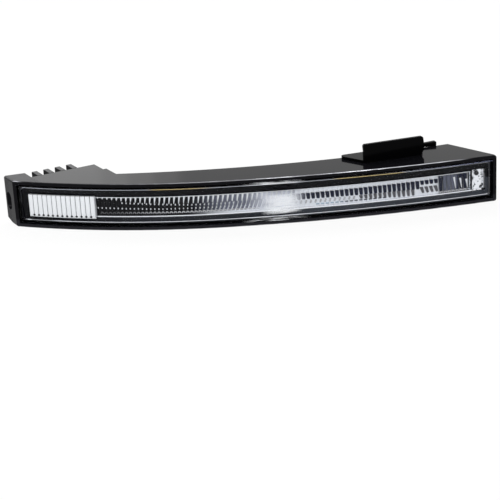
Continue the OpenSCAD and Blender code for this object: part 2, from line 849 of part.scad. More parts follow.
// Point beside a path's point i, at a distance w to its left
function beside(pts, i, w) = let (
    back = i > 0 ? pts[i] - pts[i - 1] : pts[1] - pts[0],
    on = i < len(pts) - 1 ? pts[i + 1] - pts[i] : back,
    way = back / norm(back) + on / norm(on),
    t = way / norm(way))
    pts[i] + [-t[1], t[0]] * w * norm(on) / (t * on);

// Outline of a strip that follows a path
function ribbon(pts, w) = concat(
    [for (i = [0:len(pts) - 1]) beside(pts, i, w)],
    [for (i = [len(pts) - 1:-1:0]) beside(pts, i, -w)]);

// Bracket: a sheet on the housing's top with an upright wall and a bent lip
wall_half = upright_w / 2;
tab_u = wall_half + 16.9;
heel_u = wall_half + 11.3;

// Points of a polygon with its corners rounded, each by its own radius
function round_path(pts, radii) = let (n = len(pts)) [for (i = [0:n - 1]) let (
    p = pts[i],
    a = pts[(i + n - 1) % n] - p,
    b = pts[(i + 1) % n] - p,
    ua = a / norm(a),
    ub = b / norm(b),
    half = acos(ua * ub) / 2,
    mid = (ua + ub) / norm(ua + ub),
    c = p + mid * radii[i] / sin(half),
    from = p + ua * radii[i] / tan(half) - c,
    to = p + ub * radii[i] / tan(half) - c)
    for (k = [0:6]) let (w = k / 6, q = (1 - w) * from + w * to) c + q / norm(q) * radii[i]];

module base_outline() {
    polygon(round_path([[-wall_half, 0], [wall_half - foot_cut, 0], [wall_half, foot_cut],
        [wall_half, base_d * 0.72], [tab_u, base_d * 0.9], [tab_u, base_d], [-heel_u, base_d]],
        [0.6, 0.3, 0.3, 2, 0.8, 0.8, 2.5]));
}

module bracket() {
    color([0.03, 0.03, 0.03]) at_bracket() difference() {
        union() {
            linear_extrude(sheet_t) base_outline();
            upright();
        }
        for (p = bracket_holes)
            translate([p[0], p[1], -past]) cylinder(r = bracket_screw_r + 0.2, h = sheet_t + 2 * past);
    }
}

// The wall's lip leans back, and its top corners are round
module upright() {
    r = 1.6;
    bend_z = upright_h - hook_h;
    lean = hook_h * tan(hook_turn);
    intersection() {
        translate([-wall_half, 0, 0]) rotate([90, 0, 90]) linear_extrude(upright_w)
            polygon([[0, 0], [sheet_t, 0], [sheet_t, bend_z], [sheet_t + lean, upright_h],
                [lean, upright_h], [0, bend_z]]);
        rotate([90, 0, 0]) linear_extrude(2 * base_d, center = true) {
            polygon([[-wall_half, 0], [wall_half - foot_cut, 0], [wall_half, 1.4 * foot_cut],
                [wall_half, upright_h - r], [-wall_half, upright_h - r]]);
            translate([-wall_half + r, foot_cut]) square([upright_w - 2 * r, upright_h - foot_cut]);
            for (x = [-wall_half + r, wall_half - r])
                translate([x, upright_h - r]) circle(r = r);
        }
    }
}

module bracket_screws() {
    color([0.5, 0.5, 0.52]) at_bracket_holes() {
        translate([0, 0, sheet_t]) cylinder(r = bracket_screw_r + 1.6, h = 1.8);
        translate([0, 0, -insert_l + 0.5]) cylinder(r = bracket_screw_r, h = insert_l + sheet_t);
    }
}

module screw_inserts() {
    color([0.75, 0.6, 0.25]) at_bracket_holes() translate([0, 0, -insert_l + 0.05]) difference() {
        cylinder(r = insert_r - 0.02, h = insert_l - 0.05);
        translate([0, 0, -past]) cylinder(r = bracket_screw_r + 0.05, h = insert_l + 2 * past);
    }
}

// Connector: a shroud through the back wall with a flange outside
seat_gap = 0.25;
seal_t = 1;
pin_w = 0.8;
pin_n = 3;
pin_step = 4;
pin_play = 0.02;
pin_out = 7;

module connector_socket() {
    color([0.08, 0.08, 0.09]) at_back(plug_x, plug_turn, plug_z) difference() {
        union() {
            translate([-plug_w / 2, -wall_t - 1, -plug_h / 2])
                cube([plug_w, wall_t + 1 + plug_reach, plug_h]);
            translate([-plug_w / 2 - flange, seat_gap + seal_t, -plug_h / 2 - flange])
                cube([plug_w + 2 * flange, flange_t, plug_h + 2 * flange]);
            // Latch nib for the mating plug
            translate([-2, plug_reach - 5, plug_h / 2]) cube([4, 3, 1.4]);
        }
        translate([-plug_bore_w / 2, 1, -plug_bore_h / 2])
            cube([plug_bore_w, plug_reach, plug_bore_h]);
        for (i = [0:pin_n - 1])
            translate([(i - (pin_n - 1) / 2) * pin_step, 0, 0])
                cube([pin_w + 2 * pin_play, 4 * wall_t, pin_w + 2 * pin_play], center = true);
    }
}

// The pins run in as far as the LED board's back
module contact_pins() {
    color([0.8, 0.65, 0.3]) intersection() {
        linear_extrude(lamp_h) behind_face(board_back + rest);
        at_back(plug_x, plug_turn, plug_z) for (i = [0:pin_n - 1])
            translate([(i - (pin_n - 1) / 2) * pin_step - pin_w / 2, -waist_d, -pin_w / 2])
                cube([pin_w, waist_d + 1 + pin_out, pin_w]);
    }
}

module socket_seal() {
    color([0.5, 0.2, 0.1]) at_back(plug_x, plug_turn, plug_z) difference() {
        translate([-plug_w / 2 - flange, seat_gap, -plug_h / 2 - flange])
            cube([plug_w + 2 * flange, seal_t, plug_h + 2 * flange]);
        translate([-plug_w / 2 - fit, 0, -plug_h / 2 - fit])
            cube([plug_w + 2 * fit, seal_t + past, plug_h + 2 * fit]);
    }
}

module breather_vent() {
    color([0.15, 0.15, 0.15]) at_back(vent_x, vent_turn, plug_z) rotate([-90, 0, 0]) {
        translate([0, 0, 0.1]) cylinder(r = vent_r, h = 1.4);
        translate([0, 0, -wall_t]) cylinder(r = vent_r - 1 - fit, h = wall_t + 0.2);
    }
}

housing();
outer_lens();
lens_seal();
bezel();
reflector();
light_guide();
ribbed_block();
end_reflector();
end_screw();
led_board();
leds();
board_screws();
driver_board();
driver_coil();
driver_capacitors();
driver_chip();
thermal_pad();
heat_sink();
sink_gasket();
sink_screws();
link_lead();
bracket();
bracket_screws();
screw_inserts();
connector_socket();
contact_pins();
socket_seal();
breather_vent();
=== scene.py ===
# %% [markdown]
# # A daytime running light
# A long, bowed lamp for a car's front bumper. Its solids come from CAD. This notebook gives them their
# finishes, models the fine optics behind the clear cover, and sets up a small photo studio.

# %% Load the frame
import math
import bpy
from mathutils import Matrix, Vector


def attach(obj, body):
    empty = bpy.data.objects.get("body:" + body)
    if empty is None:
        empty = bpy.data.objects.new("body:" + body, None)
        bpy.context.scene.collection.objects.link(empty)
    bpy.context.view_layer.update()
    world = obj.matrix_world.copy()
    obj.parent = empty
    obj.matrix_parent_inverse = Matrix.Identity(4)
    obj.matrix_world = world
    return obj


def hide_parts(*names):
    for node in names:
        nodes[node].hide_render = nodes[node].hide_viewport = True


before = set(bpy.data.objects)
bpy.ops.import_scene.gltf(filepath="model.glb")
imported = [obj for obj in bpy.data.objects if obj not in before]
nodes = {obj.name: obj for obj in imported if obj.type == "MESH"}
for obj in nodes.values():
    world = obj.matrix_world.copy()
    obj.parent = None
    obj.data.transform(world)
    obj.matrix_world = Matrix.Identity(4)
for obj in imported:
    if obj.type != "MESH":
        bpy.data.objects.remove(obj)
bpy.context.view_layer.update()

MM = 0.001
print("CAD nodes:", len(nodes))

# %% [markdown]
# ## The bow
# The lamp's face is bowed: seen from above it is two arcs that meet at the foremost point with one
# tangent. Places along it could be read off the CAD meshes, but two arcs need only a little trigonometry,
# and every optic then sits exactly where the solids do. The sizes repeat those of the CAD model, in
# millimetres.

# %% Places along the bow
APEX_X, BACK_Y = -27.5, 15.0
LEFT_R, RIGHT_R = 375.0, 740.0
MID_Z = 16.4
BAND_Z = 15.0


def bow_r(x):
    return LEFT_R if x < APEX_X else RIGHT_R


def bow_turn(x):
    return math.asin((x - APEX_X) / bow_r(x))


def bow_point(x, depth):
    """The place behind the face at x, so deep behind it, as x and y."""
    r, a = bow_r(x), bow_turn(x)
    return APEX_X + (r - depth) * math.sin(a), r - BACK_Y - (r - depth) * math.cos(a)


def face_x(x, depth):
    """The place along the bow whose square line meets x at that depth."""
    r = bow_r(x)
    return APEX_X + (x - APEX_X) * r / (r - depth)


def arc_to_x(s):
    r = LEFT_R if s < 0 else RIGHT_R
    return APEX_X + r * math.sin(s / r)


def x_to_arc(x):
    return bow_r(x) * bow_turn(x)


print("the face is", round(x_to_arc(165) - x_to_arc(-165)), "mm long, measured along the bow")

# %% [markdown]
# ## Small helpers for modelling by hand
# An operator acts on everything that is selected, so each step first clears the selection. In edit mode
# faces and edges could be picked by their number, but a number says nothing to a reader and changes with
# the mesh. Here they are picked by their place or their normal.

# %% Selection helpers
def only(*objs):
    """Selects these objects and nothing else."""
    if bpy.context.object and bpy.context.object.mode != "OBJECT":
        bpy.ops.object.mode_set(mode="OBJECT")
    bpy.ops.object.select_all(action="DESELECT")
    for o in objs:
        o.select_set(True)
    bpy.context.view_layer.objects.active = objs[0]


def pick(obj, kind, test):
    """In edit mode, selects the faces, edges or vertices of obj that pass the test."""
    bpy.ops.object.mode_set(mode="OBJECT")
    mesh = obj.data
    for part in (*mesh.vertices, *mesh.edges, *mesh.polygons):
        part.select = False
    if kind == "FACE":
        for f in mesh.polygons:
            f.select = test(f.center, f.normal)
    elif kind == "EDGE":
        for e in mesh.edges:
            a, b = (mesh.vertices[i].co for i in e.vertices)
            e.select = test(a, b)
    else:
        for v in mesh.vertices:
            v.select = test(v.co)
    bpy.ops.object.mode_set(mode="EDIT")
    bpy.ops.mesh.select_mode(type=kind)


def upright_edges(front):
    """Picks the long upright edges that lie in front of a depth."""
    return lambda a, b: abs(a.z - b.z) > 5 and a.y < front


def level_edges(front):
    """Picks the level edges that lie in front of a depth."""
    return lambda a, b: abs(a.z - b.z) < 0.01 and a.y < front and b.y < front


# %% Starting, dressing and smoothing
def settle():
    """Puts the place, turn and scale of what is selected into its mesh."""
    bpy.ops.object.transform_apply(location=True, rotation=True, scale=True)


def named(name):
    """Names the object at hand, such as a new primitive, and returns it."""
    o = bpy.context.object
    o.name = o.data.name = name
    return o


def block(name, size, centre):
    """A cuboid to start from, in millimetres, opened in edit mode."""
    bpy.ops.object.select_all(action="DESELECT")
    bpy.ops.mesh.primitive_cube_add(size=1)
    o = named(name)
    o.scale = size
    o.location = centre
    settle()
    bpy.ops.object.mode_set(mode="EDIT")
    return o


def dress(obj, *materials):
    obj.data.materials.clear()
    for m in materials:
        obj.data.materials.append(m)
    print(obj.name, "wears", ", ".join(m.name for m in materials))


def ready(model, *materials):
    """Settles a model and dresses it, to be copied; its faces take the first material."""
    only(model)
    settle()
    dress(model, *materials)
    for face in model.data.polygons:
        face.material_index = 0
    return model


def smooth(piece, angle):
    only(piece)
    bpy.ops.object.shade_smooth_by_angle(angle=math.radians(angle))


# %% [markdown]
# ### Rows along the bow
# A relief that repeats could be made with Array and Curve modifiers, but here the pitch, the height and the
# lean change along the lamp. So each shape is modelled once, at the origin and in millimetres, and a row
# gives one matrix for each copy. Each copy has its own mesh, and joining them makes one piece.

# %% Rows and their copies
def ramp(x0, x1, a, b):
    """A value that is a as far as x0, b from x1 on, and straight between."""
    return lambda x: a + (b - a) * min(1.0, max(0.0, (x - x0) / (x1 - x0)))


def row(left, right, pitch, depth, level=0, lean=0, stretch=1.0):
    """Matrices for a row along the bow. Level and stretch are numbers, or change with x."""
    count = int((x_to_arc(right) - x_to_arc(left)) / pitch + 0.01)
    out = []
    for i in range(count):
        at = face_x(arc_to_x(x_to_arc(left) + (i + 0.5) * pitch), depth)
        px, py = bow_point(at, depth)
        up, tall = (v(at) if callable(v) else v for v in (level, stretch))
        out.append(Matrix.Translation((px, py, BAND_Z + up)) @ Matrix.Rotation(bow_turn(at), 4, "Z")
                   @ Matrix.Rotation(math.radians(lean), 4, "Y") @ Matrix.Diagonal((1, 1, tall, 1)))
    return out


def place_copies(name, groups):
    """Copies each model to its matrices and joins all copies as one piece in metres."""
    copies = []
    for model, matrices in groups:
        for m in matrices:
            only(model)
            bpy.ops.object.duplicate()
            c = bpy.context.object
            c.matrix_world = Matrix.Scale(MM, 4) @ m
            copies.append(c)
    only(*copies)
    bpy.ops.object.join()
    piece = named(name)
    settle()
    only(*(model for model, _ in groups))
    bpy.ops.object.delete()
    print(name, len(copies), "copies,", len(piece.data.polygons), "faces")
    return piece


# %% [markdown]
# ## Shader maths as plain sums
# A finish is a net of nodes. They could be added and linked one by one, but that hides the idea in a long
# list. Wrapping a socket in a small class lets a sum in Python add the Math nodes, and one method adds any
# other node. That keeps a finish as short as its idea.

# %% Sockets that can be added and multiplied
class Socket:
    def __init__(self, finish, link):
        self.finish, self.link = finish, link

    def calc(self, operation, *others):
        return self.finish.node("ShaderNodeMath", {"operation": operation}, (self,) + others)

    def __add__(self, other):
        return self.calc("ADD", other)

    def __sub__(self, other):
        return self.calc("SUBTRACT", other)

    def __rsub__(self, other):
        return self.finish.node("ShaderNodeMath", {"operation": "SUBTRACT"}, (other, self))

    def __mul__(self, other):
        return self.calc("MULTIPLY", other)

    def __pow__(self, other):
        return self.calc("POWER", other)

    __radd__ = __add__
    __rmul__ = __mul__

    def step(self, low, high):
        """0 below low, 1 above high, and smooth between."""
        return self.finish.node("ShaderNodeMapRange", {"interpolation_type": "SMOOTHSTEP"},
                                {"Value": self, "From Min": low, "From Max": high})

    def fall(self, low, high):
        """1 below low, 0 above high, and smooth between."""
        return 1 - self.step(low, high)

    def zone(self, a, b, c, d):
        """1 from b to c, 0 below a and above d, and smooth between."""
        return self.step(a, b) * self.fall(c, d)


# %% Finishes
OUTPUTS = {"materials": "ShaderNodeOutputMaterial", "worlds": "ShaderNodeOutputWorld"}


class Finish:
    """A net of nodes that makes a new material or a new world."""
    def __init__(self, name, kind="materials"):
        self.kind, self.owner = kind, getattr(bpy.data, kind).new(name)
        self.owner.use_nodes = True
        self.tree = self.owner.node_tree
        self.tree.nodes.clear()

    def node(self, kind, settings=None, values=(), out=0):
        """Adds a node: its settings first, then the values or links of its sockets."""
        n = self.tree.nodes.new(kind)
        for key, value in (settings or {}).items():
            setattr(n, key, value)
        pairs = values.items() if isinstance(values, dict) else enumerate(values)
        for key, value in pairs:
            if isinstance(value, Socket):
                self.tree.links.new(value.link, n.inputs[key])
            else:
                n.inputs[key].default_value = value
        return Socket(self, n.outputs[out])

    def point(self):
        """The point on the surface, in metres."""
        return self.node("ShaderNodeTexCoord", out="Object")

    def place(self):
        """The point on the surface, in metres, and its x, y and z."""
        p = self.point()
        return [p] + [self.node("ShaderNodeSeparateXYZ", {}, (p,), out=i) for i in range(3)]

    def noise(self, point, scale, detail=3.0, rough=0.5):
        return self.node("ShaderNodeTexNoise", {}, {"Vector": point, "Scale": scale, "Detail": detail,
                                                    "Roughness": rough})

    def mix(self, factor, a, b):
        """A colour between a and b. The Mix node keeps its colour sockets under these numbers."""
        return self.node("ShaderNodeMix", {"data_type": "RGBA"}, {0: factor, 6: a, 7: b}, out=2)

    def bump(self, height):
        """A relief whose height is given in metres."""
        return self.node("ShaderNodeBump", {}, {"Height": height, "Distance": 1.0, "Strength": 1.0})

    def surface(self, **values):
        named = {k.replace("_", " "): v for k, v in values.items()}
        return self.node("ShaderNodeBsdfPrincipled", {}, named)

    def done(self, shader):
        """Links the shader to the output and hands over the material or the world."""
        out = self.tree.nodes.new(OUTPUTS[self.kind])
        self.tree.links.new(shader.link, out.inputs[0])
        return self.owner


def rgb(r, g, b):
    return (r, g, b, 1.0)


# %% [markdown]
# ## The housing's gloss black
# The housing is moulded in black and comes out of a polished mould, so its flat top mirrors the pale
# studio at a low angle while its front stays nearly black. A low index of refraction gives that split. The
# long front edges carry a painted highlight, the strip under the window is a little greyer, and only the
# fixing ear has a fine grain from the mould; the ear's top is also painted paler than its side, as painted
# light from above. The mesh could be cut into zones with a material each, but a CAD node's mesh stays as
# it is, so each zone is a mask worked out from the place on the piece.

# %% How deep a point lies behind the bow
def depth_behind_bow(x, y):
    """Distance behind the lamp's face in metres, worked out from the centres of the two arcs."""
    def depth(r):
        along, back = x - APEX_X * MM, y - (r - BACK_Y) * MM
        return r * MM - (along * along + back * back) ** 0.5
    left = (x - APEX_X * MM).fall(-0.00001, 0.00001)
    return left * depth(LEFT_R) + (1 - left) * depth(RIGHT_R)


def height_off_middle(z):
    """How far above or below the face's middle line a point lies."""
    return (z - MID_Z * MM).calc("ABSOLUTE")


def glare(x):
    """1 a little right of the middle, where the bow mirrors the lamp over the camera."""
    return x.zone(-0.012, 0.010, 0.018, 0.036)


# %% Gloss black with a grained ear
EAR_WAY_X, EAR_WAY_Y = 0.875, 0.485   # the way along the heat sink end, turned by 29 degrees
EAR_ALONG = (-0.1250, -0.1240)        # the ear lies left of this, along that way
SLOT_ALONG = (-0.1388, -0.1385)       # its slot lies right of this
SLOT_HALF_HEIGHT = (0.0063, 0.0065)
EAR_BEHIND = (0.0010, 0.0014)         # the ear starts this deep behind the face
EAR_SIDE_BEHIND = (0.0035, 0.0055)    # its side is grained only from this depth on
FRONT_BEHIND = (0.0006, 0.0009)       # what is less deep is the front
EDGE_OFF_MIDDLE = (0.0159, 0.0161)    # the edges with a painted highlight, above and below the middle line
TOP_PLATE = (0.0322, 0.0325)          # the height at which the sides end and the flat top begins
GRAIN_HIGH, RIPPLE_HIGH = 0.00006, 0.000003


def housing_black():
    f = Finish("housing_black")
    p, x, y, z = f.place()
    depth, height = depth_behind_bow(x, y), height_off_middle(z)
    grain, ripple, streak = f.noise(p, 1400.0, 2.0, 0.6), f.noise(p, 35.0, 2.0), f.noise(p, 90.0, 3.0)

    # the front: the painted highlight on its edges, which fades at the right, and the greyer strip along its
    # foot
    front = depth.fall(*FRONT_BEHIND)
    painted_edge_highlight = x.step(-0.13, -0.05) * 0.35 + glare(x) * 0.5 + x.step(0.03, 0.08) * 0.65
    painted_edge_highlight = painted_edge_highlight + x.fall(-0.163, -0.157) * 0.5
    edge = front * height.step(*EDGE_OFF_MIDDLE) * painted_edge_highlight * x.fall(0.125, 0.15)
    sill = front * z.fall(0.004, 0.006)

    # the ear, but neither its slot nor the narrow strip next to the face
    along = x * EAR_WAY_X + y * EAR_WAY_Y
    side = z.fall(*TOP_PLATE)
    slot = along.step(*SLOT_ALONG) * height.fall(*SLOT_HALF_HEIGHT)
    ear = along.fall(*EAR_ALONG) * depth.step(*EAR_BEHIND) * (1 - slot)
    ear = ear * (1 - side * depth.fall(*EAR_SIDE_BEHIND))

    # the colours: the ear's top is painted paler than its side as painted light from above, and the edges
    # take the pale colour of their painted highlight
    mould = f.mix(sill, rgb(0.0045, 0.0045, 0.0058), rgb(0.018, 0.018, 0.022))
    ear_painted_lit_top = f.mix(side, rgb(0.08, 0.08, 0.083), rgb(0.016, 0.016, 0.018))
    colour = f.mix(edge, f.mix(ear, mould, ear_painted_lit_top), rgb(0.66, 0.67, 0.72))
    relief = grain * ear * GRAIN_HIGH + ripple * RIPPLE_HIGH
    return f.done(f.surface(Base_Color=colour, Roughness=0.07 + 0.05 * ripple + ear * 0.3, IOR=1.135,
                            Metallic=edge * (0.3 + 0.7 * streak), Normal=f.bump(relief)))


dress(nodes["housing"], housing_black())

# %% [markdown]
# ## The clear cover
# The cover is polished clear plastic. It shows what is behind it almost unchanged and adds a faint
# reflection that grows towards grazing angles. A glass shader could do that, but it bends every ray and
# leaves noise on the fine optics. A Transparent shader mixed with a mirror by the facing angle does it with
# little noise and lets the studio's light reach the optics. The reflections of a lamp that stood over the
# camera, a streaky patch right of the middle and a bluish line along the upper rim, are painted reflections
# made with masks again.

# %% Clear plastic
def clear_cover():
    f = Finish("clear_cover")
    p, x, _, z = f.place()
    height = height_off_middle(z)
    facing = f.node("ShaderNodeLayerWeight", {}, {"Blend": 0.5}, out="Facing")
    long_ways = f.node("ShaderNodeMapping", {}, {"Vector": p, "Scale": (0.25, 1.0, 6.0)})
    streak = f.noise(long_ways, 220.0, 2.0)

    # the painted reflection: a bluish line along the upper rim, stronger to the right
    rim = height.zone(0.0123, 0.0125, 0.0128, 0.0130) * z.step(0.016, 0.017)
    rim = rim * (x.step(0.07, 0.12) * 0.1 + x.step(0.12, 0.14) * 0.08)
    # the painted reflection of the streaky patch: bright on both rims, and thinner over the band
    shine = glare(x) * height.step(0.0115, 0.0121) * streak.step(0.42, 0.62) * 0.55
    painted_glare_wash = x.zone(0.002, 0.014, 0.020, 0.032) * z.zone(0.007, 0.0078, 0.018, 0.022) * 0.6

    share = 0.0005 + facing ** 5.0 * 0.5 + rim + shine + painted_glare_wash * streak.step(0.3, 0.5)
    # the painted reflection takes a blue colour along the rim
    painted_light_tint = f.mix(rim * 8.0, rgb(0.95, 0.97, 1.0), rgb(0.6, 0.64, 1.0))
    clear = f.node("ShaderNodeBsdfTransparent", {}, {"Color": rgb(0.99, 0.995, 1.0)})
    gloss = f.surface(Base_Color=painted_light_tint, Metallic=1.0, Roughness=0.03)
    return f.done(f.node("ShaderNodeMixShader", {}, (share, clear, gloss)))


dress(nodes["outer_lens"], clear_cover())

# %% [markdown]
# ## The bezel
# A glossy black frame. Its narrow front lip carries a painted highlight, which draws the thin line round the
# lit band, and the funnel behind it is black, with a painted sheen low down on the right. In two places the
# upper lip picks up an amber tint. The lip could be a piece of its own, but on the real lamp it is one
# moulding with the frame, so it is found by its depth behind the bow and its height.

# %% Gloss black with a painted highlight on its lip
BEZEL_D = 2.7
LIP_TOP = 11.6


def bezel_black():
    f = Finish("bezel_black")
    p, x, y, z = f.place()
    streak, ripple = f.noise(p, 45.0, 3.0), f.noise(p, 60.0, 2.0)
    front = depth_behind_bow(x, y).fall((BEZEL_D + 0.05) * MM, (BEZEL_D + 0.12) * MM)
    lip = front * height_off_middle(z).fall((LIP_TOP - 0.05) * MM, LIP_TOP * MM)
    above = (z - MID_Z * MM).step(0.0, 0.001)
    below = 1 - above

    # the lip: a painted highlight, brighter below and at the glare, amber in two places above
    painted_lip_highlight = f.mix(glare(x) + below * 0.55, rgb(0.34, 0.35, 0.38), rgb(0.95, 0.96, 1.0))
    amber = above * (x.zone(-0.074, -0.066, -0.045, -0.025) + x.zone(0.05, 0.058, 0.096, 0.104))
    bright = f.mix(amber * 0.8, painted_lip_highlight, rgb(0.62, 0.46, 0.16))
    # the painted highlight fades at both ends, apart from one short painted dash of highlight low at the left
    ends = 1 - x.zone(-0.1592, -0.158, 0.1585, 0.1592) * (1 - above * x.step(0.13, 0.145) * 0.6)
    faint = below * x.fall(-0.142, -0.134) * 0.55
    bright = f.mix(ends * 0.9 + faint, bright, rgb(0.01, 0.01, 0.012))
    dash = z.fall(0.0054, 0.0058) * x.zone(-0.1575, -0.1568, -0.1545, -0.1535)
    bright = f.mix(dash, bright, rgb(0.85, 0.87, 0.9))

    # the funnel: nearly black, with a painted sheen that makes it a little greyer below towards the right
    painted_funnel_sheen = below * (x.step(-0.14, -0.05) * 0.4 + x.step(0.0, 0.05) * 0.6)
    black = f.mix(painted_funnel_sheen, rgb(0.003, 0.003, 0.0045), rgb(0.045, 0.05, 0.06))
    return f.done(f.surface(Base_Color=f.mix(lip, black, bright), IOR=1.2,
                            Roughness=0.06 + 0.05 * ripple + lip * 0.15,
                            Metallic=lip * (0.5 + 0.5 * streak)))


dress(nodes["bezel"], bezel_black())

# %% [markdown]
# ## Plain finishes
# Most inner pieces need only a colour, a roughness and a little life: a fine noise that shifts both, and
# a touch of relief. Sixteen nets could be drawn for them, but one function makes them all, each with its
# own values: a name, a colour, a roughness, and how metallic it is.

# %% One recipe for the plain pieces
LIFE, RELIEF = 0.15, 0.00001


def plain(name, colour, rough, metal=0.0, grain=400.0, ior=1.45):
    f = Finish(name)
    n = f.noise(f.point(), grain, 4.0, 0.55)
    dark = rgb(*(c * (1 - LIFE) for c in colour))
    light = rgb(*(min(1.0, c * (1 + LIFE)) for c in colour))
    return f.done(f.surface(Base_Color=f.mix(n, dark, light), Roughness=rough * (0.8 + 0.4 * n),
                            Metallic=metal, IOR=ior, Normal=f.bump(n * RELIEF)))


PLAIN = {
    "lens_seal": ("seal_rubber", (0.02, 0.02, 0.02), 0.6),
    "led_board": ("white_mask", (0.72, 0.72, 0.7), 0.35),
    "leds": ("phosphor", (0.85, 0.72, 0.3), 0.4),
    "board_screws": ("screw_zinc", (0.6, 0.6, 0.62), 0.3, 1.0),
    "driver_board": ("green_mask", (0.02, 0.12, 0.05), 0.3),
    "driver_coil": ("ferrite", (0.05, 0.05, 0.055), 0.55),
    "driver_capacitors": ("can_aluminium", (0.72, 0.72, 0.74), 0.3, 1.0),
    "driver_chip": ("chip_resin", (0.02, 0.02, 0.02), 0.5),
    "thermal_pad": ("pad_silicone", (0.32, 0.36, 0.45), 0.8),
    "sink_gasket": ("gasket_rubber", (0.02, 0.02, 0.02), 0.7),
    "link_lead": ("lead_film", (0.6, 0.28, 0.06), 0.3),
    "screw_inserts": ("turned_brass", (0.75, 0.56, 0.25), 0.28, 1.0),
    "connector_socket": ("socket_nylon", (0.02, 0.02, 0.022), 0.45),
    "contact_pins": ("pin_plating", (0.86, 0.72, 0.42), 0.22, 1.0),
    "socket_seal": ("seal_silicone", (0.36, 0.08, 0.03), 0.6),
    "breather_vent": ("vent_nylon", (0.035, 0.035, 0.038), 0.5),
}
for node, values in PLAIN.items():
    dress(nodes[node], plain(*values))

# %% [markdown]
# ## The trough behind the band
# The reflector is a moulded trough with a thin bright metal coat, so it is a mirror with a faint swirl. Its
# upper edge lies in the shade of the bezel's funnel. The light there could be blocked by one more piece, but
# the real lamp has none, so the finish simply turns dark above the band.

# %% Bright below, dark at its upper edge
def bright_trough():
    f = Finish("bright_trough")
    p, _, _, z = f.place()
    top = z.step((BAND_Z + 5.9) * MM, (BAND_Z + 6.1) * MM)
    swirl = f.noise(p, 400.0)
    coat = f.mix(swirl, rgb(0.8, 0.82, 0.86), rgb(0.9, 0.92, 0.95))
    return f.done(f.surface(Base_Color=f.mix(top, coat, rgb(0.004, 0.004, 0.005)), Metallic=1.0,
                            Roughness=0.1 + 0.05 * swirl))


dress(nodes["reflector"], bright_trough())

# %% [markdown]
# ## The heat sink and the bracket
# The heat sink is die-cast aluminium with a black anodised skin. The tops of its fins are painted paler,
# as painted light from above. The bracket is painted sheet, glossier and deeper black. Both could be
# metallic shaders, but a thick black skin reflects like a plastic, so they are gloss coats with a low
# index of refraction, and the paler tops are found by their height.

# %% Black metals
FIN_TOPS = (0.0326, 0.0327)


def anodised_black():
    f = Finish("anodised_black")
    p, _, _, z = f.place()
    cast, cloud = f.noise(p, 700.0, 3.0, 0.6), f.noise(p, 60.0, 2.0)
    black = f.mix(cloud, rgb(0.003, 0.003, 0.0035), rgb(0.007, 0.007, 0.008))
    # the fin tops are painted paler, standing for the light that falls on them from above
    return f.done(f.surface(Base_Color=f.mix(z.step(*FIN_TOPS), black, rgb(0.13, 0.13, 0.132)),
                            Roughness=0.22 + 0.12 * cast, IOR=1.05, Normal=f.bump(cast * 0.00003)))


def painted_black():
    f = Finish("painted_black")
    peel = f.noise(f.point(), 350.0, 2.0)
    return f.done(f.surface(Base_Color=rgb(0.0012, 0.0012, 0.0014), Roughness=0.1 + 0.06 * peel,
                            IOR=1.1, Normal=f.bump(peel * 0.00001)))


dress(nodes["heat_sink"], anodised_black())
dress(nodes["bracket"], painted_black())

# %% [markdown]
# ## The fluted light band
# Behind the cover runs a moulded optic. Its relief changes along the lamp. At the left, thin wedges and two
# rows of beads stand on a dark ground. In the middle, slanted dark strokes lie between the wedges. At the
# right, dark pockets on a bright ground grow taller, with small grey marks under them, and next to the end
# piece dark columns stand. A bump map could hint at all this, but from close up it would look flat, so the
# shapes are modelled.

# %% Sizes of the band
GUIDE_D, GUIDE_H = 6.35, 6.65
FLUTE, FINE = 3.3, 2.8
BLOCK_LEFT = -155.4
BLOCK_RIB, BLOCK_N = 3.46, 14
BLOCK_RIGHT = arc_to_x(x_to_arc(BLOCK_LEFT) + BLOCK_RIB * BLOCK_N)
END_LEFT = 148.6
BAND_LEFT, BAND_RIGHT = BLOCK_RIGHT + 0.3, END_LEFT - 0.3
print("the band runs from", round(BAND_LEFT, 2), "to", BAND_RIGHT)

# %% [markdown]
# ### Finishes of the light band
# The optic is clear over a bright trough. Where the trough faces away the ground looks dark, and past the
# foremost point of the bow it turns white. True glass over a true mirror could show this, but only from one
# side and with much noise. So the shapes are opaque, and each finish paints this reflected light and shade,
# shifting along the lamp.

# %% The ground and what stands on it
GROUND_END = (0.1235, 0.1265)  # from here on the ground is darker, up to the end piece


def ground_clear():
    f = Finish("ground_clear")
    p, x, _, z = f.place()
    # painted reflection: dark at the left, grey in the middle and lighter low down there, nearly white to the
    # right and white in the glare
    low = (z - BAND_Z * MM).fall(-0.005, 0.001)
    middle = x.step(-0.048, -0.010) * (0.6 + 0.4 * low)
    right = x.step(0.016, 0.036)
    lit = middle * (1 - right) + right * 0.95
    lit = lit * (1 - glare(x)) + glare(x)
    bright = lit * (1 - x.step(*GROUND_END) * 0.72) + f.noise(p, 900.0, 2.0) * 0.012
    colour = f.mix(bright, rgb(0.004, 0.004, 0.005), rgb(0.93, 0.95, 1.0))
    return f.done(f.surface(Base_Color=colour, Roughness=0.25, IOR=1.2))


def wedge_white():
    f = Finish("wedge_white")
    n = f.noise(f.point(), 300.0)
    return f.done(f.surface(Base_Color=f.mix(n, rgb(0.7, 0.72, 0.76), rgb(0.97, 0.98, 1.0)),
                            Roughness=0.15, IOR=1.4))


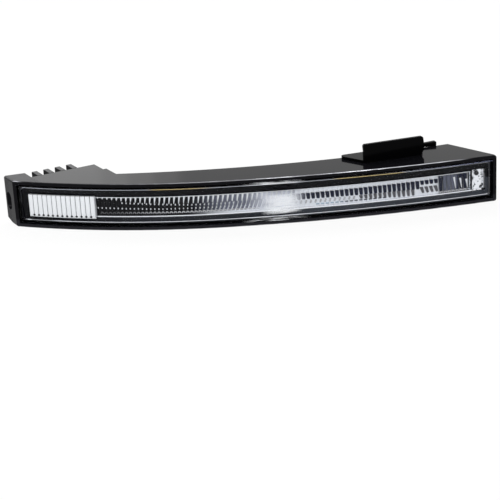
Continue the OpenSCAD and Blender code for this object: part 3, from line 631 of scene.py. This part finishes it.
# %% The pockets and the scallops
def pocket_navy():
    f = Finish("pocket_navy")
    _, x, _, z = f.place()
    # painted reflection: the pockets are near black at the left and navy to the right
    navy = f.mix(x.step(-0.05, -0.01), rgb(0.004, 0.004, 0.006), rgb(0.011, 0.014, 0.032))
    # painted glare: lighter before the glare and over the columns, and nearly white in the glare itself
    painted_glare_haze = x.zone(-0.045, -0.012, 0.018, 0.036)
    veil = x.zone(0.1275, 0.1290, 0.1370, 0.1390) * 0.8
    navy = f.mix(painted_glare_haze + veil, navy, rgb(0.15, 0.16, 0.21))
    fade = x.zone(-0.010, 0.013, 0.018, 0.036) * 0.9
    dark = f.mix(fade, navy, rgb(0.86, 0.88, 0.97))
    # a painted blue fringe of the glare low down, just right of it
    painted_light_tint = x.zone(0.03, 0.036, 0.05, 0.065) * z.fall(0.0125, 0.0145)
    return f.done(f.surface(Base_Color=f.mix(painted_light_tint, dark, rgb(0.4, 0.52, 0.62)), Roughness=0.25, IOR=1.3))


def scallop_grey():
    f = Finish("scallop_grey")
    _, x, _, _ = f.place()
    # painted reflection: dark grey at the left, lighter grey to the right, and nearly white in the glare
    grey = f.mix(x.step(-0.1, -0.05), rgb(0.07, 0.07, 0.075), rgb(0.5, 0.5, 0.52))
    return f.done(f.surface(Base_Color=f.mix(glare(x), grey, rgb(0.88, 0.9, 0.97)), Roughness=0.25))


GROUND, BRIGHT, DARK, GREY = ground_clear(), wedge_white(), pocket_navy(), scallop_grey()
SMOKE = plain("smoke", (0.09, 0.09, 0.1), 0.3)
print("finishes of the band:", ", ".join(m.name for m in (GROUND, BRIGHT, DARK, GREY, SMOKE)))

# %% [markdown]
# ### Shapes of the light band
# Each shape looks along -Y, and what hangs from the band's top has its own top at z = 0, so that it grows
# downwards when it is stretched. They start as cuboids, a ball and a disc, and bevels, insets and moved
# points shape them. Boolean cuts could sink real pockets, but hundreds of them would be slow and fragile.
# A dark floor set into the bright ground reads the same.

# %% The ground: one shallow flute
ground = block("ground", (FLUTE, 1.2, 2 * GUIDE_H + 0.5), (0, 1.9, -0.35))
pick(ground, "EDGE", upright_edges(1.4))
bpy.ops.mesh.bevel(offset=0.4, segments=3)
ready(ground, GROUND)

# %% The bright rails along the top and the bottom
rail = block("rail", (FLUTE, 0.9, 0.5), (0, 0.6, 0))
pick(rail, "EDGE", level_edges(0.3))
bpy.ops.mesh.bevel(offset=0.12, segments=2)
ready(rail, BRIGHT)

# %% The wedge: wide at its top and thin at its foot
wedge = block("wedge", (1.35, 1.2, 6.0), (0, 0.75, -3.0))
pick(wedge, "VERT", lambda c: c.z < -5)
bpy.ops.transform.resize(value=(0.25, 0.6, 1))
pick(wedge, "EDGE", upright_edges(0.5))
bpy.ops.mesh.bevel(offset=0.12, segments=2)
ready(wedge, BRIGHT)

# %% The bead
bpy.ops.object.select_all(action="DESELECT")
bpy.ops.mesh.primitive_uv_sphere_add(segments=8, ring_count=5, radius=0.5, location=(0, 0.9, 0))
bead = named("bead")
bead.scale = (0.9, 1.0, 1.25)
ready(bead, BRIGHT)

# %% The scallop: a disc with a sunk dark middle, cut flat along its top
bpy.ops.object.select_all(action="DESELECT")
bpy.ops.mesh.primitive_cylinder_add(vertices=16, radius=1.2, depth=0.7, location=(0, 1.0, 0),
                                    rotation=(math.pi / 2, 0, 0))
scallop = ready(named("scallop"), GREY, DARK)
pick(scallop, "FACE", lambda c, n: n.y < -0.9)
bpy.ops.mesh.inset(thickness=0.7)
bpy.ops.mesh.extrude_region_move(TRANSFORM_OT_translate={"value": (0, 0.4, 0)})
scallop.active_material_index = 1
bpy.ops.object.material_slot_assign()
bpy.ops.mesh.select_all(action="SELECT")
bpy.ops.mesh.bisect(plane_co=(0, 0, -0.1), plane_no=(0, 0, -1), clear_outer=True, use_fill=True)
bpy.ops.object.mode_set(mode="OBJECT")


# %% Pockets
def pocket(name, width, height, spur, round_off, finish=DARK):
    """A shallow dark pocket's floor, hung from its top edge, with a spur to the left at its top."""
    o = block(name, (width, 0.7, height), (0, 1.0, -height / 2))
    pick(o, "VERT", lambda c: c.z > -0.1 and c.x < 0)
    bpy.ops.transform.translate(value=(-spur, 0, spur * 0.3))
    pick(o, "EDGE", lambda a, b: abs(a.y - b.y) > 0.5 and (a.x > 0 or a.z < -0.5))
    bpy.ops.mesh.bevel(offset=round_off, segments=3)
    return ready(o, finish)


upper = pocket("upper", 2.0, 5.0, 0.1, 0.25)
stroke = pocket("stroke", 1.65, 5.6, 0.3, 0.45)
comma = pocket("comma", 2.15, 4.0, 0.7, 0.45)
tail = pocket("tail", 1.6, 2.4, 0.9, 0.35, SMOKE)
mark = pocket("mark", 1.0, 2.3, 0.3, 0.25, GREY)
dash = pocket("dash", 2.2, 0.55, 0.0, 0.15)
arch = pocket("arch", 1.7, 0.6, 0.3, 0.22, BRIGHT)

# %% [markdown]
# ### The band from its rows
# Each row below says where it starts and ends, how high its shapes sit, how far they lean in degrees and
# how tall they are. The rows overlap, as the zones of the real optic do. The shapes could be scattered by a
# Geometry Nodes net, but a plain list of rows is easier to read and to change.

# %% Copy the shapes along the bow
comma_top = ramp(24, 120, 2.8, 3.8)


def comma_tall(x):
    """The pockets grow taller to the right, and are short again beyond x = 112."""
    return ramp(30, 110, 0.98, 1.42)(x) - ramp(111.9, 112.1, 0, 0.7)(x)


def arch_level(x):
    return comma_top(x) + 1.1


def flutes(left, right, level, lean=0, stretch=1.0, pitch=FLUTE, depth=GUIDE_D):
    return row(left, right, pitch, depth, level, lean, stretch)


light_band = place_copies("light_band", [
    # from end to end
    (ground, flutes(BAND_LEFT, BAND_RIGHT, 0)),
    (rail, flutes(BAND_LEFT, BAND_RIGHT, 6.3, 0, 0.95)),
    (rail, flutes(BAND_LEFT, BAND_RIGHT, ramp(30, 80, -7.0, -7.3), 0, ramp(-60, 20, 0.6, 1.2))),
    # left
    (wedge, flutes(BAND_LEFT, 26, 6.2, 8, ramp(-107, -70, 0.14, 0.85))),
    (bead, flutes(BAND_LEFT, -2, ramp(-108, -65, -1.3, -2.4), pitch=FINE)),
    (bead, flutes(-92, -12, ramp(-92, -45, 2.2, 0.0), pitch=FINE)),
    (scallop, flutes(-106, 8, -5.3, pitch=FINE)),
    # middle
    (upper, flutes(-52, 28, 5.5, 6, 0.9)),
    (stroke, flutes(-62, 14, 0.9, 22, pitch=FINE)),
    # right
    (comma, flutes(24, 128, comma_top, 0, comma_tall)),
    (comma, flutes(125.4, 148, 5.2, 0, 2.6, pitch=FLUTE * 0.9)),
    (tail, flutes(70, 112, -2.0, 0, ramp(70, 100, 0.9, 1.7))),
    (tail, flutes(112, 126, -0.8, -12, 1.8)),
    (wedge, flutes(133.8, 147.2, ramp(134, 146, 4.8, 1.5), -9, ramp(134, 146, 1.5, 1.0),
                   pitch=FLUTE * 1.35, depth=GUIDE_D - 0.2)),
    (scallop, flutes(126, 147, -6.4, pitch=FINE, depth=GUIDE_D - 0.1)),
    (mark, flutes(26, 70, -2.0, 24)),
    (dash, flutes(40, 90, -4.9)),
    (arch, flutes(30, 128, arch_level))])
smooth(light_band, 25)


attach(light_band, "root")
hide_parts("light_guide")

# %% [markdown]
# ## The white ribbed block
# At the heat sink end the band is a white block of upright ribs. A dark grey strip stands in each groove
# with a small dark hole low in it, and a white sill runs under the ribs. The ribs could be cut out of one
# block, but fourteen rounded bars beside each other give the same grooves with clean edges.

# %% White moulding
def block_white():
    f = Finish("block_white")
    n = f.noise(f.point(), 120.0)
    return f.done(f.surface(Base_Color=f.mix(n, rgb(0.86, 0.87, 0.89), rgb(0.92, 0.93, 0.94)),
                            Roughness=0.3))


WHITE = block_white()
GROOVE = plain("groove_grey", (0.12, 0.12, 0.13), 0.5)
HOLE = plain("groove_hole", (0.004, 0.004, 0.005), 0.4, ior=1.15)

# %% One rib and its groove
BLOCK_FRONT, BLOCK_T, WINDOW_H = 3.9, 3.4, 7.7
GROOVE_W = 0.4
rib = block("rib", (BLOCK_RIB - 0.36, BLOCK_T, 2 * WINDOW_H - 0.3), (0, BLOCK_T / 2, 0))
pick(rib, "EDGE", upright_edges(0.01))
bpy.ops.mesh.bevel(offset=0.4, segments=4)
pick(rib, "EDGE", level_edges(0.01))
bpy.ops.mesh.bevel(offset=0.35, segments=3)
ready(rib, WHITE)
groove = block("groove", (GROOVE_W, 2.9, 2 * WINDOW_H - 0.4), (BLOCK_RIB / 2, 1.85, 0))
pick(groove, "EDGE", upright_edges(1.0))
bpy.ops.mesh.bevel(offset=0.1, segments=2)
ready(groove, GROOVE)

# %% One hole and one length of the sill
HOLE_R, HOLE_Z, SILL_Z = 0.95, -6.85, -7.85
bpy.ops.object.select_all(action="DESELECT")
bpy.ops.mesh.primitive_uv_sphere_add(segments=10, ring_count=6, radius=HOLE_R,
                                     location=(BLOCK_RIB / 2 + 0.1, 0.3, HOLE_Z))
hole = named("hole")
hole.scale = (1.0, 1.0, 0.75)
ready(hole, HOLE)
sill = block("sill", (BLOCK_RIB, 1.3, 0.8), (0, 1.05, SILL_Z))
pick(sill, "EDGE", level_edges(0.5))
bpy.ops.mesh.bevel(offset=0.2, segments=2)
ready(sill, WHITE)

# %% Copy the ribs along the bow
block_row = row(BLOCK_LEFT, BLOCK_RIGHT + 0.1, BLOCK_RIB, BLOCK_FRONT)
ribbed_face = place_copies("ribbed_face", [(rib, block_row), (groove, block_row[:-1]),
                                           (hole, block_row[:-1]), (sill, block_row)])
smooth(ribbed_face, 40)


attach(ribbed_face, "root")
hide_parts("ribbed_block")

# %% [markdown]
# ## The bright end piece
# At the far end a small folded mirror closes the band, held by one dark screw. Its folds could be modelled,
# but they are finer than the mesh of the CAD tray, which stays as the base. A noise that is cut into
# patches and also bumps the surface stands for them; the patches are painted reflections, bright and dark.

# %% Bright end and its screw
def folded_mirror():
    f = Finish("folded_mirror")
    fold = f.noise(f.point(), 420.0, 2.0, 0.6)
    # painted reflections: noise patches of bright and dark stand for what the small folds mirror
    colour = f.mix(fold.step(0.38, 0.5), rgb(0.03, 0.03, 0.035), rgb(0.93, 0.94, 0.97))
    return f.done(f.surface(Base_Color=colour, Metallic=0.6, Roughness=0.15, Normal=f.bump(fold * 0.0002)))


dress(nodes["end_reflector"], folded_mirror())
dress(nodes["end_screw"], plain("dark_screw", (0.03, 0.03, 0.032), 0.35, 0.5))

# %% [markdown]
# ## Screw heads with a cross recess
# The plain heads of the CAD model get their cross recess here. A disc is bevelled into a pan head, and two
# crossed bars are cut out of it with a Boolean modifier. The cross could be drawn in the finish, but a
# recess has walls that catch the light.

# %% One pan head
ACROSS, RECESS_W = 1.1, 0.3  # the recess's length and width, as shares of the head's radius


def cut_recess(head, radius, height, turn):
    """Cuts one bar of the cross into the head's top."""
    bpy.ops.object.select_all(action="DESELECT")
    bpy.ops.mesh.primitive_cube_add(size=1, location=(0, 0, height))
    arm = bpy.context.object
    arm.scale = (radius * ACROSS, radius * RECESS_W, height)
    arm.rotation_euler[2] = turn
    settle()
    only(head)
    cut = head.modifiers.new("recess", "BOOLEAN")
    cut.object, cut.operation, cut.solver = arm, "DIFFERENCE", "EXACT"
    bpy.ops.object.modifier_apply(modifier="recess")
    only(arm)
    bpy.ops.object.delete()


def pan_head(name, radius, height, shank_r, shank_l):
    """A pan head screw along +Z with its head's underside at z = 0, in millimetres."""
    bpy.ops.object.select_all(action="DESELECT")
    bpy.ops.mesh.primitive_cylinder_add(vertices=32, radius=radius, depth=height, location=(0, 0, height / 2))
    head = bpy.context.object
    settle()
    pick(head, "EDGE", lambda a, b: min(a.z, b.z) > height - 0.01)
    bpy.ops.mesh.bevel(offset=height * 0.45, segments=4)
    bpy.ops.object.mode_set(mode="OBJECT")
    for turn in (0, math.pi / 2):
        cut_recess(head, radius, height, turn)
    bpy.ops.object.select_all(action="DESELECT")
    bpy.ops.mesh.primitive_cylinder_add(vertices=24, radius=shank_r, depth=shank_l,
                                        location=(0, 0, -shank_l / 2))
    shank = bpy.context.object
    settle()
    only(head, shank)
    bpy.ops.object.join()
    head.name = head.data.name = name
    return head


def set_screws(name, model, matrices, node):
    """Copies a screw to each matrix and lets the copies stand for a CAD node."""
    piece = place_copies(name, [(model, matrices)])
    smooth(piece, 30)
    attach(piece, "root")
    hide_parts(node)
    return piece


# %% Screws of the heat sink
END_TURN = math.radians(29)
EAR_W, FIN_T, FIN_PITCH, FIN_N = 14.2, 3.4, 8.6, 4
FLANGE_T, GASKET_T, SINK_SCREW_Z = 3.0, 0.8, 9.2
tip = bow_point(-165.0, 0)
to_end = Matrix.Translation((tip[0], tip[1], 0)) @ Matrix.Rotation(END_TURN, 4, "Z")
out_of_back = Matrix.Rotation(-math.pi / 2, 4, "X")
first_fin = EAR_W + 5.2
screw_places = (first_fin + FIN_T / 2 + FIN_PITCH / 2, first_fin + (FIN_N - 1) * FIN_PITCH + FIN_T + 4)
sink_screws = [to_end @ Matrix.Translation((a, FLANGE_T + GASKET_T, MID_Z + z)) @ out_of_back
               for a in screw_places for z in (-SINK_SCREW_Z, SINK_SCREW_Z)]
sink_heads = set_screws("sink_screw_set", pan_head("sink_screw", 2.3, 1.4, 1.4, 9.1), sink_screws,
                        "sink_screws")
dress(sink_heads, plain("zinc_bright", (0.62, 0.62, 0.63), 0.28, 1.0, 900.0))

# %% Screws of the bracket
BRACKET_TURN, BRACKET_X, BRACKET_SET = math.radians(17.5), 95.8, 19.2
TOP_Z, SHEET_T = 32.8, 2.0
BRACKET_SCREW_U, BRACKET_SCREW_V = 12, 11
foot = (BRACKET_X, bow_point(BRACKET_X, 0)[1] + BRACKET_SET, TOP_Z)
to_bracket = Matrix.Translation(foot) @ Matrix.Rotation(BRACKET_TURN, 4, "Z")
bracket_screws = [to_bracket @ Matrix.Translation((u, BRACKET_SCREW_V, SHEET_T))
                  for u in (-BRACKET_SCREW_U, BRACKET_SCREW_U)]
bracket_heads = set_screws("bracket_screw_set", pan_head("bracket_screw", 3.6, 1.8, 2.0, 7.5), bracket_screws,
                           "bracket_screws")
dress(bracket_heads, plain("zinc_dull", (0.5, 0.5, 0.52), 0.33, 1.0, 900.0))

# %% [markdown]
# ## The sleeve on the bracket's tab
# The tab beside the bracket's wall ends in a soft sleeve that keeps it from rattling. A subdivided block
# could give it softness, but its faces are flat and only its edges are round, so it is a tapered block with
# bevelled edges, pushed over the sheet.

# %% A soft sleeve
TAB_U, TAB_V = 39.1, 18.6
sleeve = block("tab_sleeve", (13.0, 4.4, 3.6), (TAB_U - 6.3, TAB_V - 0.6, 1.1))
pick(sleeve, "VERT", lambda c: c.x < TAB_U - 8)
bpy.ops.transform.resize(value=(1, 0.7, 0.75))
pick(sleeve, "EDGE", lambda a, b: True)
bpy.ops.mesh.bevel(offset=0.85, segments=3)
ready(sleeve, painted_black())
sleeve.matrix_world = Matrix.Scale(MM, 4) @ to_bracket
settle()
smooth(sleeve, 40)
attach(sleeve, "root")

# %% [markdown]
# ## The studio
# A pale floor, a white surround and a few soft lamps. The background could be made white with more light,
# but that would bleach the lamp as well. So the floor and the surround are white to the camera and to
# mirror rays through the Light Path node, and need no extra lamp.

# %% Floor and surround
SKY_LIGHT = 0.55  # how strongly the surround lights the lamp


def ray_kinds(f):
    """1 for the rays that see a surface directly, in a mirror, and through something clear."""
    return [f.node("ShaderNodeLightPath", out=kind)
            for kind in ("Is Camera Ray", "Is Glossy Ray", "Is Transmission Ray")]


def floor_white():
    f = Finish("floor_white")
    direct, mirrored, through = ray_kinds(f)
    matte = f.node("ShaderNodeBsdfDiffuse", {}, {"Color": rgb(0.9, 0.9, 0.9)})
    white = f.node("ShaderNodeEmission", {}, {"Color": rgb(1, 1, 1), "Strength": 1.0})
    return f.done(f.node("ShaderNodeMixShader", {}, (direct * 0.9 + mirrored + through, matte, white)))


def sky_white():
    f = Finish("studio", "worlds")
    direct, mirrored, through = ray_kinds(f)
    seen = direct.calc("MAXIMUM", mirrored).calc("MAXIMUM", through)
    lighting, white = (f.node("ShaderNodeBackground", {}, {"Color": rgb(1, 1, 1), "Strength": strength})
                       for strength in (SKY_LIGHT, 1.0))
    return f.done(f.node("ShaderNodeMixShader", {}, (seen, lighting, white)))


bpy.ops.object.select_all(action="DESELECT")
bpy.ops.mesh.primitive_plane_add(size=8, location=(0, 0, -0.0002))
floor = named("studio_floor")
dress(floor, floor_white())
bpy.context.scene.world = sky_white()

# %% [markdown]
# ## The lamps
# A long soft box behind and above gives the top its sheen and a large one in front lights the optics. One
# box at the back left could light the top plate, but it would end in a hard line on the gloss. Four small
# ones that overlap let the plate fade from grey to nearly black. The last one lights the ear's side.

# %% Soft boxes
def soft_box(name, azimuth, elevation, distance, width, height, power):
    """An area lamp that looks at the lamp's middle. Azimuth 0 is in front, 90 to the right."""
    a, e = math.radians(azimuth), math.radians(elevation)
    way = Vector((math.sin(a) * math.cos(e), -math.cos(a) * math.cos(e), math.sin(e)))
    data = bpy.data.lights.new(name, "AREA")
    data.shape, data.size, data.size_y, data.energy = "RECTANGLE", width, height, power
    lamp = bpy.data.objects.new(name, data)
    bpy.context.collection.objects.link(lamp)
    lamp.location = Vector((0, 0, 0.016)) + way * distance
    lamp.rotation_euler = way.to_track_quat("Z", "Y").to_euler()
    print(name, power, "W,", distance, "m away")


soft_box("rim_box", 180, 50, 1.2, 1.4, 0.5, 8)
soft_box("key_box", -20, 50, 1.3, 0.8, 0.6, 6.5)
for i in range(4):
    soft_box("back_box_%d" % i, 195 - 1.7 * i, 20, 1.5, 0.26, 0.3, 0.075)
soft_box("ear_box", 250, 25, 1.2, 0.5, 0.4, 3)

# %% [markdown]
# ## The camera
# The photograph was taken from in front, 20 degrees above the lamp, with the camera rolled a little. The
# view could be matched by eye, but the lens, the distance and the aim come from a fit of the lamp's edges,
# which also holds the proportions.

# %% Camera
IMAGE = 500
FOCAL_PX, DISTANCE = 1500.0, 1.0127
TARGET = Vector((-0.00589, -0.015, -0.01684))
ELEVATION, ROLL = math.radians(20), math.radians(-3.12)
look = Vector((0, math.cos(ELEVATION), -math.sin(ELEVATION)))
level_x = Vector((1, 0, 0))
level_y = level_x.cross(look)
cam_x = level_x * math.cos(ROLL) + level_y * math.sin(ROLL)
cam_y = level_y * math.cos(ROLL) - level_x * math.sin(ROLL)
lens = bpy.data.cameras.new("camera")
lens.sensor_width = 36.0
lens.lens = FOCAL_PX * lens.sensor_width / IMAGE
camera = bpy.data.objects.new("camera", lens)
bpy.context.collection.objects.link(camera)
basis = Matrix((cam_x, cam_y, -look)).transposed().to_4x4()
camera.matrix_world = Matrix.Translation(TARGET - look * DISTANCE) @ basis
bpy.context.scene.camera = camera
bpy.context.scene.view_settings.view_transform = "Standard"
print("camera", round(lens.lens), "mm,", DISTANCE, "m away")
